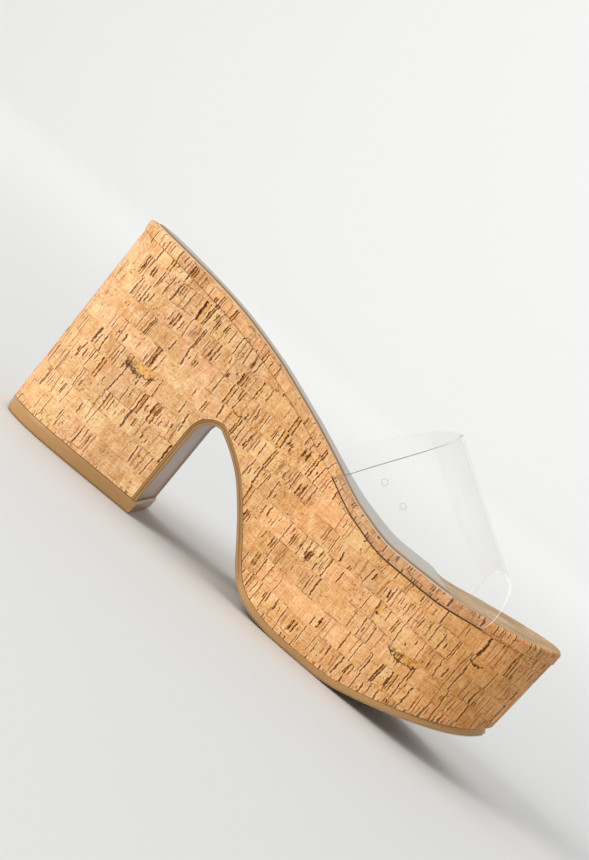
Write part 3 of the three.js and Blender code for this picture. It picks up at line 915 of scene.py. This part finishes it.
BOARD_PROUD = 0.55
BOARD_RIM = 3.0                 # the flat rim underneath, up to the wall's line
TOP_ROUND = 2.0                 # the edge's roundings, above and below
TOP_SQUASH = 0.62
LOW_ROUND = 0.45
TAB_ROOM = 0.5                  # room for the strap's thin ends and their glue
SOCK_BED = 0.7                  # the board's top is this much lower under the sock
BED_ROWS = ((2.05, 0), (2.2, 1), (4.2, 1))  # distance in from the edge; 1 where it is lower
SOCK_LINE = (186.2, 0.0875)     # the sock's front edge: x at the middle, and its slope
TOE_CAP = 208                   # ahead of this the bare board shows out to its round edge
SOCK_FRONT = 178
FLAT_STEPS = 8
RAND_STRIP = 88.3               # where the wrapped edge lies on the veneer's map
RAND_SHIFT = 61.0
BOARD_SHIFT = (400, 60)         # where the board's top lies on it, squeezed lengthwise
BOARD_SQUEEZE = 0.6
STRAP_SEAMS = {"medial": (125.2, 208.4), "lateral": (114.4, 199.0)}


def tab_room(x, y):
    """How far the board's underside is lifted at a point, to let the strap in."""
    start, end = (np.where(y < 0, *pair) for pair in zip(*STRAP_SEAMS.values()))
    rise = np.clip((x - start + 0.6) / 0.5, 0, 1) * np.clip((end + 0.6 - x) / 0.5, 0, 1)
    return TAB_ROOM * rise


at_seams = [s + d for pair in STRAP_SEAMS.values() for s in pair for d in (-0.65, -0.1, 0.1, 0.65)]
board_stations = spaced([stations, at_seams], 3, 0.05)
edge_turn = np.linspace(0, math.pi / 2, 7)
rim_x, rim_y, rim_out = loop_of(board_stations)
rim_s = arc_length(rim_x, rim_y)
low_z = seam_z(rim_x, rim_y) + GAP - 0.03 + tab_room(rim_x, rim_y)
top_z = board_z(rim_x, rim_y)


def bed_z(x, y, sunk=1):
    """Top of the board, a little lower where the sock lies."""
    sock_front = SOCK_LINE[0] - SOCK_LINE[1] * y
    return board_z(x, y) - sunk * SOCK_BED * np.clip((sock_front + 1.2 - x) / 1.2, 0, 1)


def rim_point(grow, z):
    """The board's outline moved outwards, at the heights z."""
    return np.stack([rim_x + rim_out[:, 0] * grow, rim_y + rim_out[:, 1] * grow, z], 1)


board = Skin()
rows = [board.add(rim_point(-BOARD_RIM, low_z)),
        board.add(rim_point(BOARD_PROUD - LOW_ROUND - 0.2, low_z))]
for a in edge_turn[1:]:
    grow = BOARD_PROUD - LOW_ROUND * (1 - math.sin(a))
    rows.append(board.add(rim_point(grow, low_z + LOW_ROUND * (1 - math.cos(a)))))
for a in edge_turn:
    grow = BOARD_PROUD - TOP_ROUND * (1 - math.cos(a)) * 0.9
    rows.append(board.add(rim_point(grow, top_z - TOP_ROUND * TOP_SQUASH * (1 - math.sin(a)))))
for inset, sunk in BED_ROWS:
    flat_x, flat_y = rim_x - rim_out[:, 0] * inset, rim_y - rim_out[:, 1] * inset
    rows.append(board.add(rim_point(-inset, bed_z(flat_x, flat_y, sunk))))
board.tube(rows, rim_s, lambda length, p: (
    length + RAND_SHIFT, p[2] - float(seam_z(p[0], p[1])) + RAND_STRIP))
toe_b = len(board_stations) - 1
top_faces = []
for rows_back, start in ((4, TOE_CAP), (3, SOCK_FRONT)):
    top_faces += [n for n in range(len(board.faces) - rows_back * len(rim_x), len(board.faces))
                  if board.points[board.faces[n][0]][0] > start]
first_flat = len(board.faces)
board.fill(rows[-1], toe_b, (0, toe_b), FLAT_STEPS, lambda x, y: float(bed_z(x, y)),
           lambda p: (p[1] + BOARD_SHIFT[0], p[0] * BOARD_SQUEEZE + BOARD_SHIFT[1]))
top_faces += range(first_flat, len(board.faces))
board.cap(rows[0], 0, toe_b, False)
insole_board = board.object("insole_board_cork")
board_cork = cork_material("cork_board", 0.25, (0.9, 0.82, 0.74))
insole_board.data.materials.append(board_cork)


def streaked_material(name):
    """Bare cork on the board's top: greyish brown with dark streaks down the shoe. Its grey, dull
    tone is partly painted reflection, the sheen of a satin varnish seen at a grazing angle.
    """
    material, shader, tree = plain_material(name, (0.45, 0.33, 0.19), 0.6, Specular_IOR_Level=0.2)
    where = add_node(tree, "ShaderNodeTexCoord").outputs["Object"]
    drawn = add_node(tree, "ShaderNodeVectorMath", {0: where, 1: (45.0, 1100.0, 300.0)},
                     operation="MULTIPLY").outputs[0]
    broad = cloud(tree, where, 60.0, 3.0)
    streak = cloud(tree, drawn, 1.0, 5.0, 0.7)
    color = blend_color(tree, ramp_up(tree, broad, 0.35, 0.65), (0.39, 0.225, 0.085),
                        (0.53, 0.35, 0.17))
    for low, high, amount, shade in ((0.5, 0.4, 0.8, (0.17, 0.075, 0.025)),
                                     (0.52, 0.64, 0.6, (0.74, 0.55, 0.33))):
        share = math_node(tree, "MULTIPLY", ramp_up(tree, streak, low, high), amount)
        color = blend_color(tree, share, color, shade)
    tree.links.new(color, shader.inputs["Base Color"])
    set_bump(tree, shader, streak, 0.4, 0.0002)
    return material


insole_board.data.materials.append(streaked_material("board_top_cork"))
for index in top_faces:
    insole_board.data.polygons[index].material_index = 1
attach(insole_board, "root")
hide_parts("insole_board")

# ---------------------------------------------------------------- sock
# A thin satin lining glued on the board. It stops short of the board's edge, with a pale cut
# edge showing all round, and ends in a straight line behind the toes.

SOCK_INSET = 2.6
SOCK_END = {"medial": 191.5, "lateral": 181.0}
SOCK_STEPS = 170
SOCK_ACROSS = 14
# From the cut edge up over the rolled edge: distance in from the edge, height on the board.
SOCK_PROFILE = ((0.0, -0.65), (0.0, -0.2), (0.0, 0.2), (0.15, 0.4), (0.5, 0.6), (1.3, 0.9),
                (2.4, 1.15), (4.0, 1.3), (6.5, 1.35))
CUT_ROWS, ROLLED_ROWS = 3, 6    # rows of that profile up to the end of each edge


def sock_ring(inset, up):
    """The lining's outline moved inwards: down the medial edge from the heel, then back."""
    near_edge, far_edge, _ = inset_edges(SOCK_INSET + inset)
    back = SOCK_INSET + inset
    near_x, far_x = (back + (SOCK_END[side] - inset - back) * ease(SOCK_STEPS)
                     for side in ("medial", "lateral"))
    x, y = joined(near_x, near_edge(near_x), far_x, far_edge(far_x))
    return np.stack([x, y, board_z(x, y) + up], 1)


lining = Skin()
rings = [lining.add(sock_ring(inset, up)) for inset, up in SOCK_PROFILE]
lining.tube(rings[:CUT_ROWS + 1])
cut_faces = len(lining.faces)
lining.tube(rings[CUT_ROWS:ROLLED_ROWS + 1])
rolled_faces = len(lining.faces)
lining.tube(rings[ROLLED_ROWS:])
lining.fill(rings[-1], SOCK_STEPS - 1, (0,), SOCK_ACROSS,
            lambda x, y: float(board_z(x, y)) + SOCK_PROFILE[-1][1])
lining.cap(rings[0], 0, SOCK_STEPS - 1, False)
sock = lining.object("sock_lining")


def lining_material(name, color):
    """Smooth satin sheet with a very fine grain, its shine uneven in broad patches."""
    material, shader, tree = plain_material(name, color, 0.3,
                                            Coat_Weight=0.25, Coat_Roughness=0.25)
    where = add_node(tree, "ShaderNodeTexCoord").outputs["Object"]
    broad = cloud(tree, where, 30.0, 3.0)
    grain = add_node(tree, "ShaderNodeTexVoronoi", {"Vector": where, "Scale": 1500.0},
                     feature="DISTANCE_TO_EDGE").outputs[0]
    shade = blend_color(tree, ramp_up(tree, broad, 0.35, 0.65), *tints(color, 0.08))
    tree.links.new(shade, shader.inputs["Base Color"])
    set_bump(tree, shader, ramp_up(tree, grain, 0.0, 0.3), 0.12, 0.00006)
    tree.links.new(math_node(tree, "MULTIPLY_ADD", broad, 0.14, 0.26), shader.inputs["Roughness"])
    return material


sock.data.materials.append(lining_material("satin_lining", (0.25, 0.185, 0.1)))
sock.data.materials.append(plain_material("lining_cut_edge", (0.68, 0.58, 0.46), 0.6)[0])
# Painted shade: the rolled edge is a browner, less shiny copy of the lining, where the roll
# reflects less light.
sock.data.materials.append(plain_material("lining_rolled_edge_shade", (0.3, 0.16, 0.06), 0.55,
                                          Specular_IOR_Level=0.2)[0])
for face in sock.data.polygons[:rolled_faces]:
    face.material_index = 1 if face.index < cut_faces else 2
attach(sock, "root")
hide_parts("sock")

# ---------------------------------------------------------------- strap
# One wide sheet of clear vinyl over the instep. Both ends turn in under the board's edge and
# are glued in the seam. Two small vent holes are punched through on the inner side.

STRAP_THICK = 1.2
STRAP_STANDOFF = 0.95           # from the footprint's line to the sheet
STRAP_LEAVES = 0.8              # it leaves the board's side this far below the board's top
STRAP_TUCK = 7.0
TAB_THICK = 0.4                 # the ends are pressed thin where they turn in
STRAP_BEND = 1.5
VENT_RADIUS = 1.1
VENT_SIDES = 32
VENT_REACH = (-62, -20)         # y between which each vent is cut
VENTS = ((142.4, 76.5), (154.0, 74.0))      # x and z of each
STRAP_BACK = {"medial_seam": 125.2, "medial_top": 128, "crown_x": 153.2, "crown_z": 109.6,
              "lateral_top": 117, "lateral_seam": 114.4, "square": 2.2}
STRAP_FRONT = {"medial_seam": 208.4, "medial_top": 210, "crown_x": 203.5, "crown_z": 76.5,
               "lateral_top": 199.7, "lateral_seam": 199, "square": 2.9}
STRAP_COLUMNS = 56
ARCH_STEPS = 120
SMOOTHINGS = 12                 # of the sheet, where it passes from its ends into the arch
SMOOTH_FROM = 9                 # points of each end that stay as they are
THICKENS = (6, 13)              # points from each end between which it gains its thickness
LEAN = {"medial": 1.12, "lateral": 1.25}


def mix_sizes(name, v):
    """A size of the strap between its back edge, at v 0, and its front edge, at v 1."""
    return STRAP_BACK[name] + (STRAP_FRONT[name] - STRAP_BACK[name]) * v


def strap_end(side, v):
    """One end of the middle line: in under the board, round the bend and up its edge."""
    sign = -1 if side == "medial" else 1
    outside = STRAP_STANDOFF + STRAP_THICK / 2
    seam_x, top_x = mix_sizes(side + "_seam", v), mix_sizes(side + "_top", v)
    seam_y = float(edge_y(seam_x, side)) + sign * outside
    top_y = float(edge_y(top_x, side)) + sign * outside
    inward_up = [(STRAP_BEND + STRAP_TUCK, 0), (STRAP_BEND + STRAP_TUCK / 2, 0)]
    inward_up += [(STRAP_BEND * (1 - math.sin(a)), STRAP_BEND * (1 - math.cos(a)))
                  for a in np.linspace(0, math.pi / 2, 9)]
    points = []
    for inward_by, up in inward_up:
        y = seam_y - sign * inward_by
        points.append((seam_x, y, float(seam_z(seam_x, y)) + GAP + TAB_THICK / 2 + up))
    last = np.array(points[-1])
    top = np.array((top_x, top_y, float(board_z(top_x, top_y)) - STRAP_LEAVES))
    points += [last + (top - last) * t for t in (0.33, 0.67, 1)]
    return [np.array(p) for p in points]


def strap_line(v):
    """The middle line of the sheet, v from 0 at its back edge to 1 at its front edge."""
    medial, lateral = strap_end("medial", v), strap_end("lateral", v)
    middle = (medial[-1] + lateral[-1]) / 2
    half_span = medial[-1] - middle
    lean = mix_sizes("crown_x", v) - middle[0]
    rise = mix_sizes("crown_z", v) - middle[2]
    power = 2 / mix_sizes("square", v)
    arch_points = []
    for angle in np.linspace(0, math.pi, ARCH_STEPS + 1)[1:-1]:
        out = math.copysign(abs(math.cos(angle)) ** power, math.cos(angle))
        up = math.sin(angle) ** power
        point = middle + half_span * out
        point[0] += lean * up ** (LEAN["medial"] if out > 0 else LEAN["lateral"])
        point[2] += rise * up
        arch_points.append(point)
    return medial + arch_points + lateral[::-1]


lines = np.array([strap_line(v) for v in np.linspace(0, 1, STRAP_COLUMNS + 1)])
for _ in range(SMOOTHINGS):
    before, after = np.roll(lines, 1, axis=1), np.roll(lines, -1, axis=1)
    inner = slice(SMOOTH_FROM, -SMOOTH_FROM)
    lines[:, inner] = ((before + 2 * lines + after) / 4)[:, inner]
tangent = np.gradient(lines, axis=1)
crosswise = np.gradient(lines, axis=0)
normal = np.cross(tangent, crosswise)
normal /= np.linalg.norm(normal, axis=2)[:, :, None]
from_end = np.minimum(np.arange(lines.shape[1]), np.arange(lines.shape[1])[::-1])
half_thick = np.interp(from_end, THICKENS, (TAB_THICK / 2, STRAP_THICK / 2))[None, :, None]
outer, inner_side = lines - normal * half_thick, lines + normal * half_thick

vinyl = Skin()
rings = [vinyl.add(np.concatenate([outer[:, step], inner_side[::-1, step]]))
         for step in range(lines.shape[1])]
vinyl.tube(rings)
for ring, turn_round in ((rings[0], True), (rings[-1], False)):
    for i in range(STRAP_COLUMNS):
        j = len(ring) - 1 - i
        quad = [ring[i], ring[i + 1], ring[j - 1], ring[j]]
        vinyl.face(quad if not turn_round else quad[::-1])
strap = vinyl.object("strap_vinyl")
# Looks of the faces: 0 the sheet, 1 its front edge with a painted white highlight, 2 and 3 the
# near and far back edge, painted dark and faint grey as shade.
near_steps, ring_size = lines.shape[1] // 2, len(rings[0])
for face in strap.data.polygons[:(len(rings) - 1) * ring_size]:
    step, i = divmod(face.index, ring_size)
    if i == STRAP_COLUMNS:
        face.material_index = 1
    elif i == ring_size - 1:
        face.material_index = 2 if step + 1 < near_steps else 3


def vinyl_material(name, color, roughness, least, sheen):
    """Clear sheet: see-through, with at least a share of its own colour, and a sheen that
    grows towards grazing angles."""
    material, shader, tree = plain_material(name, color, roughness)
    clear = add_node(tree, "ShaderNodeBsdfTransparent", {"Color": (0.998, 0.999, 0.998, 1)})
    glance = add_node(tree, "ShaderNodeFresnel", {"IOR": 1.4}).outputs[0]
    share = math_node(tree, "MULTIPLY_ADD", glance, sheen, least)
    both = add_node(tree, "ShaderNodeMixShader", {
        0: math_node(tree, "MINIMUM", share, 0.92), 1: clear.outputs[0], 2: shader.outputs[0]})
    out = [n for n in tree.nodes if n.type == "OUTPUT_MATERIAL"][0]
    tree.links.new(both.outputs[0], out.inputs["Surface"])
    return material


# The edges are copies of the clear vinyl: a painted white highlight on the front edge, painted
# dark shade on the near back edge and a fainter painted grey shade on the far one.
for look in (("clear_vinyl", (0.98, 0.98, 0.98), 0.35, 0.02, 0.12),
             ("vinyl_front_edge_highlight", (0.97, 0.97, 0.96), 0.3, 0.25, 0.35),
             ("vinyl_back_edge_shade", (0.3, 0.3, 0.29), 0.3, 0.5, 0.4),
             ("vinyl_far_edge_shade", (0.75, 0.75, 0.74), 0.3, 0.3, 0.4)):
    strap.data.materials.append(vinyl_material(*look))
for x, z in VENTS:
    sides = VENT_SIDES
    drill_points = [(x + VENT_RADIUS * math.cos(a), y, z + VENT_RADIUS * math.sin(a))
                    for y in VENT_REACH for a in np.linspace(0, 2 * math.pi, sides + 1)[:-1]]
    drill_faces = [(i, sides + i, sides + (i + 1) % sides, (i + 1) % sides) for i in range(sides)]
    drill_faces += [tuple(range(sides)), tuple(range(2 * sides - 1, sides - 1, -1))]
    drill = new_object("drill", place(drill_points), drill_faces)
    for look in strap.data.materials:
        drill.data.materials.append(look)
    # The vent's walls take the near back edge's painted dark shade.
    drill.data.polygons.foreach_set("material_index", [2] * len(drill_faces))
    cut = strap.modifiers.new("vent", "BOOLEAN")
    cut.operation, cut.object, cut.solver = "DIFFERENCE", drill, "EXACT"
    cut_mesh = plain_mesh(strap)
    strap.modifiers.clear()
    strap.data = cut_mesh
    bpy.data.objects.remove(drill)
strap.data.set_sharp_from_angle(angle=math.radians(38))
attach(strap, "root")
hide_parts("strap")

# ---------------------------------------------------------------- vent rings
# A fine raised ring round each vent, on the outside of the sheet, in a blue-grey, less clear
# copy of the strap's vinyl: painted shade that shows the cut edge as a ring.

RING_RADIUS = 1.35
RING_THICK = 0.13
RING_STEPS = 48
RING_SIDES = 8

rings_skin = Skin()
reach = lines.shape[1] // 2
around = [np.linspace(0, 2 * math.pi, steps + 1)[:-1] for steps in (RING_STEPS, RING_SIDES)]
for x, z in VENTS:
    offset = np.hypot(lines[:, :reach, 0] - x, lines[:, :reach, 2] - z)
    row, column = np.unravel_index(np.argmin(offset), offset.shape)
    facing = normal[row, column] * (-1 if normal[row, column][1] > 0 else 1)
    base = lines[row, column] + facing * STRAP_THICK / 2
    slip = ((x - base[0]) * facing[0] + (z - base[2]) * facing[2]) / facing[1]
    middle = np.array([x, base[1] - slip, z])
    side = np.cross(facing, (0, 0, 1))
    side /= np.linalg.norm(side)
    upward = np.cross(side, facing)
    loops = []
    for turn_by in around[0]:
        spoke = side * math.cos(turn_by) + upward * math.sin(turn_by)
        loops.append(rings_skin.add([
            middle + spoke * (RING_RADIUS + RING_THICK * math.cos(a))
            + facing * RING_THICK * math.sin(a) for a in around[1]]))
    rings_skin.tube([loops[0], *loops[::-1]])
vent_rings = rings_skin.object("strap_vent_rings")
# Painted shade: a greyer, less clear copy of the vinyl marks each vent's edge.
vent_rings.data.materials.append(vinyl_material("vinyl_ring_shade", (0.55, 0.6, 0.62), 0.3, 0.35, 0.5))
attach(vent_rings, "root")
